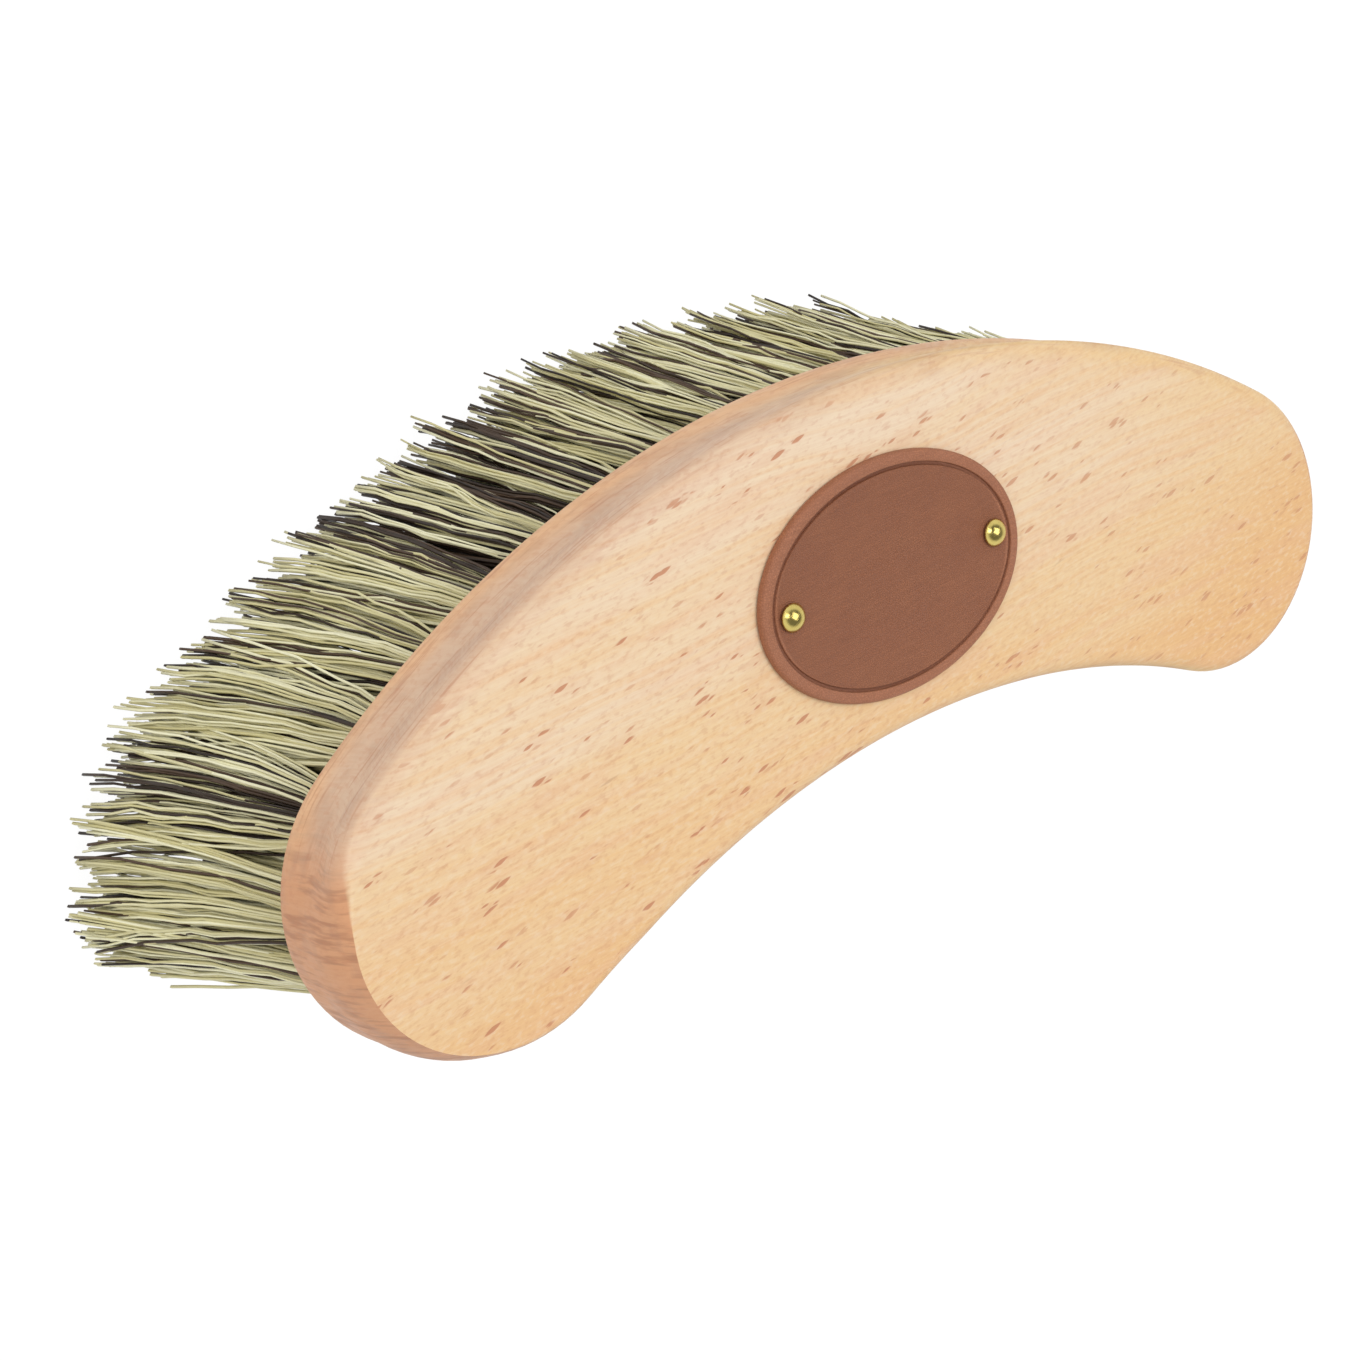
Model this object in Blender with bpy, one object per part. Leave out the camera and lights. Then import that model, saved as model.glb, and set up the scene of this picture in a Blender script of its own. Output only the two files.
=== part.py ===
"""Banana brush: a bowed beech block full of leaning bristle tufts, with a nailed leather badge on top.

Metres, +Z up. The brush stands on its bristle tips at z = 0, its hollow edge faces -Y, and the badge
lies on top. The origin is the middle of the footprint.
"""

import math

import bmesh
import bpy
from mathutils import Matrix, Vector

# Driving dimensions of the block
BLOCK_LENGTH = 0.230
BLOCK_THICKNESS = 0.0175
END_RADIUS = 0.028
BOW_HEIGHT = 0.055          # from the line through the end centres to the bulging edge
MIDDLE_WIDTH = 0.062
TOP_ROUND = 0.003
BOTTOM_ROUND = 0.0012
NOSE_LAND = 0.0004          # straight strip between a rounded edge and the finger groove
GROOVE_DEPTH = 0.0013       # shallow finger groove that runs round the side wall

# Driving dimensions of the bristles
BRISTLE_LENGTH = 0.058
TUFT_RADIUS = 0.0040
HOLE_ROOF = 0.0075          # wood left between a tuft's hole and the block's top
EDGE_MARGIN = 0.0082        # from the block's outline to the middle of an outer hole
EXIT_DROP = 0.0004          # how far the bound root shows below the block
STRAND_GAP = 0.0003         # between two strands where they leave the root
TIP_CLEARANCE = 0.0010      # from a tuft's outer strands to the middle line between two tufts, at the tips
TIP_TRIM = 0.004            # the most that a strand falls short of the longest
BACK_FLARE = 0.0090         # lean of the outer tufts at the tips, towards the bulging edge
FRONT_FLARE = 0.0020        # lean of the outer tufts at the tips, towards the hollow edge
END_FLARE = 0.0150          # lean of the last tufts at the tips, along the block

# Driving dimensions of the badge and its nails
BADGE_LENGTH = 0.0596
BADGE_WIDTH = 0.0416
BADGE_THICKNESS = 0.0015
BADGE_EDGE_ROUND = 0.0004
BADGE_RIM_WIDTH = 0.0022
BADGE_GROOVE_WIDTH = 0.0010
BADGE_GROOVE_DEPTH = 0.0005
BADGE_FIELD_DROP = 0.0002
BADGE_FRONT_OFFSET = 0.003  # from the middle of the block's width towards the hollow edge
BADGE_SIDE_OFFSET = 0.0007  # from the middle of the block's length towards +X
BADGE_TURN = math.radians(-1.5)
NAIL_SPACING = 0.0472
NAIL_BACK_OFFSET = 0.0005   # the nails sit a little nearer the bulging edge than the badge's middle
NAIL_HEAD_RADIUS = 0.00248
NAIL_HEAD_HEIGHT = 0.0018
NAIL_HEAD_LIP = 0.0003
NAIL_SHANK_RADIUS = 0.00075
NAIL_LENGTH = 0.008
NAIL_POINT_LENGTH = 0.0015
NAIL_TIP_RADIUS = 0.0002

# Clearances
FIT_GAP = 0.0003
CUT_OVERRUN = 0.001

# Counts
RIM_TUFTS = 34                  # round the block's edge
INNER_ROW_COUNTS = (12, 10)     # rows inside the rim, from the bulging edge to the hollow edge
STRANDS = 8
BACK_SEGMENTS = 30
BACK_CORNER_SEGMENTS = 5
FRONT_CORNER_SEGMENTS = 10
FRONT_SEGMENTS = 20
ROUND_STEPS = 4
GROOVE_STEPS = 6
BADGE_SEGMENTS = 56
NAIL_SEGMENTS = 18
DOME_STEPS = 5
FAN_POWER = 3                   # the lean along the block grows with this power of the place along it
DARK_TUFT_STEP = 3              # every third tuft is dark fibre
SMOOTH_ANGLE = math.radians(30)

# Strand trims, as shares of TIP_TRIM, and the size of a strand's tip against its root
TRIM_SHARES = (0.0, 0.55, 0.0, 0.9, 0.3, 0.0, 1.0, 0.0, 0.4)
TIP_SIZE_SHARE = 0.85
INNER_SPREAD_SHARE = 0.45       # how far the inner strands spread, against the outer ones
INNER_ROW_SHARES = (1 / 3, 2 / 3)   # places of the inner rows across the block, between the rim's tufts
BADGE_GROOVE_WALL_SHARE = 0.25  # each slope of the badge's groove, against its width
WELD_SHARE = 0.05               # points of a nail closer than this share of its tip are one

# Colours (linear), with roughness and metallic values
BEECH = ((0.80, 0.55, 0.33), 0.5, 0.0)
LEATHER = ((0.34, 0.15, 0.09), 0.55, 0.0)
BRASS = ((0.80, 0.62, 0.26), 0.2, 1.0)
FIBRE_PALE = ((0.60, 0.60, 0.34), 0.5, 0.0)
FIBRE_DARK = ((0.055, 0.040, 0.033), 0.5, 0.0)

# Places that follow from the sizes above
END_X = BLOCK_LENGTH / 2 - END_RADIUS
HOLLOW_Y = BOW_HEIGHT - MIDDLE_WIDTH
BACK_RADIUS = (END_X ** 2 + BOW_HEIGHT ** 2 - END_RADIUS ** 2) / (2 * (BOW_HEIGHT - END_RADIUS))
FRONT_RADIUS = (END_X ** 2 + HOLLOW_Y ** 2 - END_RADIUS ** 2) / (2 * (HOLLOW_Y + END_RADIUS))
BACK_CENTRE_Y = BOW_HEIGHT - BACK_RADIUS
FRONT_CENTRE_Y = HOLLOW_Y - FRONT_RADIUS
UNDERSIDE_Z = BRISTLE_LENGTH
TOP_Z = BRISTLE_LENGTH + BLOCK_THICKNESS
BADGE_Y = (BOW_HEIGHT + HOLLOW_Y) / 2 - BADGE_FRONT_OFFSET
BADGE_UNDER_Z = TOP_Z + FIT_GAP
BADGE_FIELD_Z = BADGE_UNDER_Z + BADGE_THICKNESS - BADGE_FIELD_DROP
NAIL_SEAT_Z = BADGE_FIELD_Z + FIT_GAP
PILOT_RADIUS = NAIL_SHANK_RADIUS + FIT_GAP
HOLE_DEPTH = BLOCK_THICKNESS - HOLE_ROOF
HOLE_RADIUS = TUFT_RADIUS + FIT_GAP / math.cos(math.pi / STRANDS)


def clear_scene():
    """Start from an empty scene."""
    for old in list(bpy.data.objects):
        bpy.data.objects.remove(old, do_unlink=True)


def make_material(name, finish):
    """A Principled material from a colour, a roughness and a metallic value."""
    colour, roughness, metallic = finish
    material = bpy.data.materials.new(name)
    material.use_nodes = True
    shader = material.node_tree.nodes["Principled BSDF"]
    shader.inputs["Base Color"].default_value = (*colour, 1.0)
    shader.inputs["Roughness"].default_value = roughness
    shader.inputs["Metallic"].default_value = metallic
    material.diffuse_color = (*colour, 1.0)
    return material


def add_object(name, bm, material, location=(0, 0, 0), smooth=False):
    """Turn a bmesh into a named object with its faces pointing outwards."""
    bmesh.ops.recalc_face_normals(bm, faces=bm.faces)
    mesh = bpy.data.meshes.new(name)
    bm.to_mesh(mesh)
    bm.free()
    if smooth:
        mesh.shade_smooth()
        mesh.set_sharp_from_angle(angle=SMOOTH_ANGLE)
    if material is not None:
        mesh.materials.append(material)
    item = bpy.data.objects.new(name, mesh)
    item.location = location
    bpy.context.scene.collection.objects.link(item)
    return item


def cut_with(item, cutter, name):
    """Take the cutter's shape out of an item."""
    cutter.hide_render = True
    cutter.display_type = "WIRE"
    cut = item.modifiers.new(name, "BOOLEAN")
    cut.operation = "DIFFERENCE"
    cut.solver = "EXACT"
    cut.object = cutter


def draw_solid(bm, rings):
    """Extrude a face from ring to ring and close the start. Returns the last face."""
    start = [bm.verts.new(point) for point in rings[0]]
    cap = bm.faces.new(start)
    for ring in rings[1:]:
        cap = bmesh.ops.extrude_discrete_faces(bm, faces=[cap])["faces"][0]
        for vert, point in zip(cap.verts, ring):
            vert.co = point
    bm.faces.new(reversed(start))
    return cap


def oval_ring(half_length, half_width, height, segments):
    """Points round an oval at a height."""
    turns = [2 * math.pi * step / segments for step in range(segments)]
    return [(half_length * math.cos(turn), half_width * math.sin(turn), height) for turn in turns]


def arc(centre, radius, start, end, segments):
    """Points along an arc, without its last one."""
    turns = [start + (end - start) * step / segments for step in range(segments)]
    return [(centre[0] + radius * math.cos(turn), centre[1] + radius * math.sin(turn)) for turn in turns]


def outline(inset):
    """The block's banana outline, drawn in by an inset: four arcs that meet without a corner."""
    back_turn = math.atan2(-BACK_CENTRE_Y, END_X)
    front_turn = math.atan2(-FRONT_CENTRE_Y, END_X)
    points = arc((0, BACK_CENTRE_Y), BACK_RADIUS - inset, math.pi - back_turn, back_turn, BACK_SEGMENTS)
    points += arc((END_X, 0), END_RADIUS - inset, back_turn, 0, BACK_CORNER_SEGMENTS)
    points += arc((END_X, 0), END_RADIUS - inset, 0, front_turn - math.pi, FRONT_CORNER_SEGMENTS)
    points += arc((0, FRONT_CENTRE_Y), FRONT_RADIUS + inset, front_turn, math.pi - front_turn, FRONT_SEGMENTS)
    points += arc((-END_X, 0), END_RADIUS - inset, -front_turn, -math.pi, FRONT_CORNER_SEGMENTS)
    points += arc((-END_X, 0), END_RADIUS - inset, math.pi, math.pi - back_turn, BACK_CORNER_SEGMENTS)
    return points


def rounded_edge(radius, start, end, steps):
    """Quarter round as pairs of inset and height about the round's own centre."""
    turns = [start + (end - start) * step / steps for step in range(steps + 1)]
    return [(radius - radius * math.cos(turn), radius * math.sin(turn)) for turn in turns]


def wall_section():
    """Pairs of inset and height down the side wall: rounded top edge, finger groove, rounded foot."""
    quarter = math.pi / 2
    top_centre = TOP_Z - TOP_ROUND
    foot_centre = UNDERSIDE_Z + BOTTOM_ROUND
    section = [(inset, top_centre + rise) for inset, rise in rounded_edge(TOP_ROUND, quarter, 0, ROUND_STEPS)]
    groove_top = top_centre - NOSE_LAND
    groove_foot = foot_centre + NOSE_LAND
    for step in range(GROOVE_STEPS + 1):
        share = step / GROOVE_STEPS
        depth = GROOVE_DEPTH * math.sin(math.pi * share) ** 2
        section.append((depth, groove_top + (groove_foot - groove_top) * share))
    foot = rounded_edge(BOTTOM_ROUND, 0, -quarter, ROUND_STEPS)
    return section + [(inset, foot_centre + rise) for inset, rise in foot]


def rim_arcs(inset):
    """The four arcs round the block at an inset, clockwise from the left end of the bulging edge.

    Each is a centre, a radius, a first angle, a sweep, and 1 where the arc bows outwards or -1 where it
    bows inwards.
    """
    back_turn = math.atan2(-BACK_CENTRE_Y, END_X)
    front_turn = math.atan2(-FRONT_CENTRE_Y, END_X)
    end_sweep = front_turn - math.pi - back_turn
    return [((0, BACK_CENTRE_Y), BACK_RADIUS - inset, math.pi - back_turn, 2 * back_turn - math.pi, 1),
            ((END_X, 0), END_RADIUS - inset, back_turn, end_sweep, 1),
            ((0, FRONT_CENTRE_Y), FRONT_RADIUS + inset, front_turn, math.pi - 2 * front_turn, -1),
            ((-END_X, 0), END_RADIUS - inset, -front_turn, end_sweep, 1)]


def point_on_arc(rim_arc, share):
    """The place at a share of an arc, and how far the outward direction there points along Y."""
    centre, radius, first, sweep, side = rim_arc
    turn = first + sweep * share
    place = Vector((centre[0] + radius * math.cos(turn), centre[1] + radius * math.sin(turn), UNDERSIDE_Z))
    return place, side * math.sin(turn)


def point_on_rim(arcs, distance):
    """The place and the outward direction at a distance along the rim."""
    for rim_arc in arcs:
        length = rim_arc[1] * abs(rim_arc[3])
        if distance <= length:
            break
        distance -= length
    return point_on_arc(rim_arc, distance / length)


def tuft_places():
    """Name, root and lean of each tuft: a closed rim, and rows between its two long sides."""
    arcs = rim_arcs(EDGE_MARGIN)
    lengths = [radius * abs(sweep) for centre, radius, first, sweep, side in arcs]
    pitch = sum(lengths) / RIM_TUFTS
    first_place = (lengths[0] + pitch) / 2 % pitch      # so that two tufts straddle the middle
    spots = [(f"tuft_rim_{number + 1:02d}", *point_on_rim(arcs, first_place + pitch * number))
             for number in range(RIM_TUFTS)]
    for row, (count, across) in enumerate(zip(INNER_ROW_COUNTS, INNER_ROW_SHARES)):
        for number in range(count):
            along = number / (count - 1)
            back = point_on_arc(arcs[0], along)[0]
            front = point_on_arc(arcs[2], 1 - along)[0]
            spots.append((f"tuft_inner{row + 1}_{number + 1:02d}", back.lerp(front, across), 1 - 2 * across))

    widest_x = END_X + END_RADIUS - EDGE_MARGIN
    middle_lean, half_flare = (BACK_FLARE - FRONT_FLARE) / 2, (BACK_FLARE + FRONT_FLARE) / 2
    return [(name, root, (END_FLARE * (root.x / widest_x) ** FAN_POWER, middle_lean + half_flare * facing))
            for name, root, facing in spots]


def leaning(lean):
    """A shear that carries a straight tuft's tips sideways by its lean."""
    matrix = Matrix.Identity(4)
    matrix[0][2] = -lean[0] / BRISTLE_LENGTH
    matrix[1][2] = -lean[1] / BRISTLE_LENGTH
    return matrix


def add_prism(bm, radius, top, bottom):
    """A straight prism with as many sides as a tuft has strands. Returns its lower face."""
    return draw_solid(bm, [oval_ring(radius, radius, height, STRANDS) for height in (top, bottom)])


def tip_spread(root, places):
    """How far a tuft's outer strands lie from its axis at the tips: up to halfway to the next tuft."""
    closest = min((root - other).length for name, other, lean in places if other != root)
    return closest / 2 - TIP_CLEARANCE


def make_tuft(name, root, lean, outer_spread, order, material):
    """One tuft: its bound root in the hole, and strands that fan out from the root to flat cut tips."""
    bm = bmesh.new()
    exit_face = add_prism(bm, TUFT_RADIUS, HOLE_DEPTH - FIT_GAP, -EXIT_DROP)
    wedges = bmesh.ops.poke(bm, faces=[exit_face])["faces"]
    bmesh.ops.inset_individual(bm, faces=wedges, thickness=STRAND_GAP / 2, use_even_offset=True)
    strands = bmesh.ops.extrude_discrete_faces(bm, faces=wedges)["faces"]
    for number, strand in enumerate(strands):
        middle = strand.calc_center_median()
        outwards = Vector((middle.x, middle.y, 0)).normalized()
        spread = outer_spread * INNER_SPREAD_SHARE if number % 2 else outer_spread
        trim = TIP_TRIM * TRIM_SHARES[(number + order) % len(TRIM_SHARES)]
        tip = outwards * spread + Vector((0, 0, trim - BRISTLE_LENGTH))
        for vert in strand.verts:
            vert.co = tip + (vert.co - middle) * TIP_SIZE_SHARE
    bmesh.ops.transform(bm, matrix=leaning(lean), verts=bm.verts)
    return add_object(name, bm, material, root)


def make_tuft_holes(places):
    """The blind holes for all tufts, as one cutter that follows each tuft's lean."""
    bm = bmesh.new()
    for name, root, lean in places:
        before = set(bm.verts)
        add_prism(bm, HOLE_RADIUS, HOLE_DEPTH, -CUT_OVERRUN)
        fresh = [vert for vert in bm.verts if vert not in before]
        bmesh.ops.transform(bm, matrix=Matrix.Translation(root) @ leaning(lean), verts=fresh)
    return add_object("tuft_holes", bm, None)


def make_block(material):
    """The wooden block: one outline drawn down the wall section."""
    bm = bmesh.new()
    draw_solid(bm, [[(x, y, height) for x, y in outline(inset)] for inset, height in wall_section()])
    return add_object("block", bm, material, smooth=True)


def nail_places():
    """Where the two nails go through the badge, which sits a little askew."""
    middle = Vector((BADGE_SIDE_OFFSET, BADGE_Y))
    turn = Matrix.Rotation(BADGE_TURN, 2)
    return {name: middle + turn @ Vector((side * NAIL_SPACING / 2, NAIL_BACK_OFFSET))
            for name, side in (("nail_left", -1), ("nail_right", 1))}


def make_pilot(name, place, top, bottom):
    """A round cutter for a nail's shank."""
    bm = bmesh.new()
    bmesh.ops.create_cone(bm, cap_ends=True, segments=NAIL_SEGMENTS, radius1=PILOT_RADIUS,
                          radius2=PILOT_RADIUS, depth=top - bottom)
    return add_object(name, bm, None, (*place, (top + bottom) / 2))


def make_badge(material):
    """The oval leather badge: a rounded edge, a raised rim, a pressed groove and a flat field."""
    rise = BADGE_THICKNESS
    inner_rim = BADGE_EDGE_ROUND + BADGE_RIM_WIDTH
    groove_z = rise - BADGE_GROOVE_DEPTH
    field = inner_rim + BADGE_GROOVE_WIDTH
    slope = BADGE_GROOVE_WIDTH * BADGE_GROOVE_WALL_SHARE
    section = [(0.0, 0.0), (0.0, rise - BADGE_EDGE_ROUND), (BADGE_EDGE_ROUND, rise), (inner_rim, rise),
               (inner_rim + slope, groove_z), (field - slope, groove_z), (field, rise - BADGE_FIELD_DROP)]
    bm = bmesh.new()
    draw_solid(bm, [oval_ring(BADGE_LENGTH / 2 - inset, BADGE_WIDTH / 2 - inset, height, BADGE_SEGMENTS)
                    for inset, height in section])
    bmesh.ops.rotate(bm, cent=(0, 0, 0), matrix=Matrix.Rotation(BADGE_TURN, 3, "Z"), verts=bm.verts)
    return add_object("badge", bm, material, (BADGE_SIDE_OFFSET, BADGE_Y, BADGE_UNDER_Z), smooth=True)


def make_nail(name, place, material):
    """A domed brass nail, turned about its own axis, standing on its seat height."""
    quarter = math.pi / 2
    crown = NAIL_HEAD_HEIGHT - NAIL_HEAD_LIP
    section = [(0.0, -NAIL_LENGTH), (NAIL_TIP_RADIUS, -NAIL_LENGTH),
               (NAIL_SHANK_RADIUS, NAIL_POINT_LENGTH - NAIL_LENGTH), (NAIL_SHANK_RADIUS, 0.0),
               (NAIL_HEAD_RADIUS, 0.0)]
    for step in range(DOME_STEPS):
        turn = quarter * step / DOME_STEPS
        section.append((NAIL_HEAD_RADIUS * math.cos(turn), NAIL_HEAD_LIP + crown * math.sin(turn)))
    section.append((0.0, NAIL_HEAD_HEIGHT))
    bm = bmesh.new()
    verts = [bm.verts.new((radius, 0, height)) for radius, height in section]
    edges = [bm.edges.new(pair) for pair in zip(verts, verts[1:])]
    bmesh.ops.spin(bm, geom=verts + edges, cent=(0, 0, 0), axis=(0, 0, 1), angle=2 * math.pi,
                   steps=NAIL_SEGMENTS, use_merge=True)
    bmesh.ops.remove_doubles(bm, verts=bm.verts, dist=NAIL_TIP_RADIUS * WELD_SHARE)
    return add_object(name, bm, material, (*place, NAIL_SEAT_Z), smooth=True)


def gather():
    """Put every piece under one empty, so that the origin is the middle of the footprint."""
    pieces = list(bpy.data.objects)
    reach = [piece.location.y + vert.co.y for piece in pieces for vert in piece.data.vertices]
    brush = bpy.data.objects.new("brush", None)
    brush.location = (0, -(min(reach) + max(reach)) / 2, 0)
    bpy.context.scene.collection.objects.link(brush)
    for piece in pieces:
        piece.parent = brush


def build():
    """Make every piece of the brush."""
    clear_scene()
    beech = make_material("beech", BEECH)
    leather = make_material("leather", LEATHER)
    brass = make_material("brass", BRASS)
    pale = make_material("fibre_pale", FIBRE_PALE)
    dark = make_material("fibre_dark", FIBRE_DARK)

    block = make_block(beech)
    places = tuft_places()
    cut_with(block, make_tuft_holes(places), "tuft holes")
    for order, (name, root, lean) in enumerate(places):
        material = dark if order % DARK_TUFT_STEP == 1 else pale
        make_tuft(name, root, lean, tip_spread(root, places), order, material)

    badge = make_badge(leather)
    pilot_top = BADGE_UNDER_Z + BADGE_THICKNESS + CUT_OVERRUN
    pilot_foot = NAIL_SEAT_Z - NAIL_LENGTH - FIT_GAP
    for name, place in nail_places().items():
        pilot = make_pilot(f"pilot_for_{name}", place, pilot_top, pilot_foot)
        cut_with(block, pilot, f"pilot for {name}")
        cut_with(badge, pilot, f"hole for {name}")
        make_nail(name, place, brass)
    gather()


build()
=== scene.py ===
# %% [markdown]
# # A banana brush
#
# This lesson dresses a grooming brush: a bowed beech block, a leather badge held by two brass nails, and
# fifty-six tufts of stiff plant fibre. The solids are loaded first as a fixed frame, and each piece takes
# its place and its size from them.

# %% Load the frame
import math
import random

import bmesh
import bpy
from mathutils import Euler, Matrix, Vector, noise


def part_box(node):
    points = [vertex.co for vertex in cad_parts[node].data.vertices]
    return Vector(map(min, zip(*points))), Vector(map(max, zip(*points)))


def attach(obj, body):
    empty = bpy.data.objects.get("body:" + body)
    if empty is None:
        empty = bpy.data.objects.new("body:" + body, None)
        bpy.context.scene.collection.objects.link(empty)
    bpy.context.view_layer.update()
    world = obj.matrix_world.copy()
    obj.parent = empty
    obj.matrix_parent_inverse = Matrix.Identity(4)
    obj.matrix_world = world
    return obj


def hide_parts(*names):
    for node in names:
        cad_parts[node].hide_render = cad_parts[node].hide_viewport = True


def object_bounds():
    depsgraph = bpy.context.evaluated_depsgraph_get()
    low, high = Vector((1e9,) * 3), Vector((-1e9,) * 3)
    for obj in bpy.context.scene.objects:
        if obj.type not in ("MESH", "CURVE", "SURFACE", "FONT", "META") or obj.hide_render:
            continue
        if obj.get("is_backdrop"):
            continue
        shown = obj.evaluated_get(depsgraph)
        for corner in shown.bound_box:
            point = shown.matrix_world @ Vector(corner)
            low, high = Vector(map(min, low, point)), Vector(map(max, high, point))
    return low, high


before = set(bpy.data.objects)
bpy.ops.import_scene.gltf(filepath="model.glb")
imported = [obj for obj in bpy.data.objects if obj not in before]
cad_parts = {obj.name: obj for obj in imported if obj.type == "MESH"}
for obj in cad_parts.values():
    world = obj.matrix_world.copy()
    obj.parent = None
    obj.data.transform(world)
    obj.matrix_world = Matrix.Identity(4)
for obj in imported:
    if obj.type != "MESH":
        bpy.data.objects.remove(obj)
cad_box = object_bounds()
MM = 0.001


def print_box(title, box):
    """Print the corners of a box."""
    low, high = [[round(value / MM, 1) for value in corner] for corner in box]
    print(title, "from", low, "to", high, "mm")


print_box("solid model", cad_box)

# %% [markdown]
# Most sizes are read from the boxes of the solids, and only what a box can't tell is written down. The
# block's outline is four arcs that meet without a corner: the bulging edge, two round ends and the hollow
# edge. Their centres and radii follow from the length, the width, the height of the bow and the end radius.

# %% Measure the solids
block_low, block_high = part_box("block")
badge_low, badge_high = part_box("badge")
TUFTS = sorted(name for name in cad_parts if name.startswith("tuft_"))
NAILS = sorted(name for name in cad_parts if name.startswith("nail_"))

BLOCK_LENGTH = block_high.x - block_low.x
TOP_Z = block_high.z
UNDERSIDE_Z = block_low.z
MIDDLE_WIDTH = 62 * MM
END_RADIUS = 28 * MM
BOW_HEIGHT = 55 * MM
END_X = BLOCK_LENGTH / 2 - END_RADIUS
END_Y = block_high.y - BOW_HEIGHT
HOLLOW_Y = BOW_HEIGHT - MIDDLE_WIDTH
BACK_RADIUS = (END_X ** 2 + BOW_HEIGHT ** 2 - END_RADIUS ** 2) / (2 * (BOW_HEIGHT - END_RADIUS))
FRONT_RADIUS = (END_X ** 2 + HOLLOW_Y ** 2 - END_RADIUS ** 2) / (2 * (HOLLOW_Y + END_RADIUS))
BACK_CENTRE_Y = END_Y + BOW_HEIGHT - BACK_RADIUS
FRONT_CENTRE_Y = END_Y + HOLLOW_Y - FRONT_RADIUS
print(f"block {BLOCK_LENGTH / MM:.1f} mm long, {len(TUFTS)} tufts, {len(NAILS)} nails")

# %% [markdown]
# Every piece ends the same way, so one helper does it: the mesh becomes an object at the origin, rides on the
# root body and stands for the solids it replaces, which are hidden.

# %% Helper that finishes a piece
SMOOTH_ANGLE = 35


def new_object(name, data):
    """An object in the scene, at the origin."""
    item = bpy.data.objects.new(name, data)
    bpy.context.scene.collection.objects.link(item)
    return item


def make_object(name, bm):
    """An object from a bmesh, which is freed."""
    mesh = bpy.data.meshes.new(name)
    bm.to_mesh(mesh)
    bm.free()
    return new_object(name, mesh)


def finish_piece(name, bm, materials, nodes, smooth_angle=SMOOTH_ANGLE):
    """Turn a bmesh into a smooth-shaded piece that stands for its solids."""
    piece = make_object(name, bm)
    piece.data.shade_smooth()
    piece.data.set_sharp_from_angle(angle=math.radians(smooth_angle))
    for material in materials:
        piece.data.materials.append(material)
    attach(piece, "root")
    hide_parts(*nodes)
    return piece


# %% [markdown]
# ## Helpers for materials
#
# A node tree reads best when each node is one call: its kind, its settings, and what goes into its
# sockets. A value that is already a socket is linked, and anything else is written as the default.

# %% Helper for shader nodes
def add_node(tree, kind, values=None, **settings):
    """Add a shader node, set it up and fill its inputs."""
    item = tree.nodes.new("ShaderNode" + kind)
    for name, value in settings.items():
        setattr(item, name, value)
    for name, value in (values or {}).items():
        socket = item.inputs[name]
        if isinstance(value, bpy.types.NodeSocket):
            tree.links.new(value, socket)
        else:
            socket.default_value = value
    return item


def maths(tree, operation, first, second=0.0, third=0.0):
    """The result of one sum on numbers or sockets."""
    return add_node(tree, "Math", {0: first, 1: second, 2: third}, operation=operation).outputs[0]


def add_weighted(tree, *terms):
    """The sum of values, each one times its share."""
    total = 0.0
    for value, share in terms:
        total = maths(tree, "MULTIPLY_ADD", value, share, total)
    return total


def mix(tree, factor, first, second):
    """A mix of two colours."""
    return add_node(tree, "Mix", {0: factor, 6: first, 7: second}, data_type="RGBA").outputs[2]


def ramp(tree, value, low, high, to_low=0.0, to_high=1.0):
    """A smooth step of a value from one range to another."""
    values = {0: value, 1: low, 2: high, 3: to_low, 4: to_high}
    return add_node(tree, "MapRange", values, interpolation_type="SMOOTHSTEP").outputs[0]


def axes(tree, vector):
    """The X, Y and Z of a vector."""
    return add_node(tree, "SeparateXYZ", {0: vector}).outputs


def add_mapping(tree, place, **values):
    """A place, moved, turned and scaled into a frame of its own."""
    return add_node(tree, "Mapping", {"Vector": place, **values}, vector_type="TEXTURE").outputs[0]


def add_noise(tree, place, scale, detail, roughness=0.5):
    """The value and the colour of a noise texture."""
    values = {"Vector": place, "Scale": scale, "Detail": detail, "Roughness": roughness}
    return add_node(tree, "TexNoise", values).outputs


# %% [markdown]
# A colour is written as a colour picker shows it, and the shader needs it linear. Each material feeds its
# shader a colour, a roughness and a height for the bump.

# %% Helper for materials
def paint(red, green, blue):
    """A linear colour from the 0 to 255 numbers of a colour picker."""
    parts = [part / 255 for part in (red, green, blue)]
    return (*[part / 12.92 if part <= 0.04045 else ((part + 0.055) / 1.055) ** 2.4 for part in parts], 1.0)


def new_material(name, **plain):
    """A material with plain values, its tree and its shader."""
    material = bpy.data.materials.new(name)
    material.use_nodes = True
    shader = material.node_tree.nodes["Principled BSDF"]
    for socket, value in plain.items():
        shader.inputs[socket.replace("_", " ")].default_value = value
    return material, material.node_tree, shader


def wire_shader(tree, shader, colour, roughness, height, relief):
    """Feed a shader its colour, its roughness and a bump, whose relief is in metres."""
    bump = add_node(tree, "Bump", {"Height": height, "Distance": relief, "Strength": 1.0})
    tree.links.new(colour, shader.inputs["Base Color"])
    tree.links.new(roughness, shader.inputs["Roughness"])
    tree.links.new(bump.outputs[0], shader.inputs["Normal"])


# %% [markdown]
# Wood grain and the rub marks on leather and brass are one effect: noise that is drawn out in one
# direction. So it is one node group, with the size of a streak along x, y and z, a turn about z, and how
# far the streaks wander. It gives a mask from 0 to 1.

# %% Group for drawn-out streaks
WANDER_SCALE = 14.0
MIDDLE_OF_NOISE = (0.5, 0.5, 0.5)
STREAK_ROUGHNESS = 0.55
STREAK_BAND = (0.25, 0.75)


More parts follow.
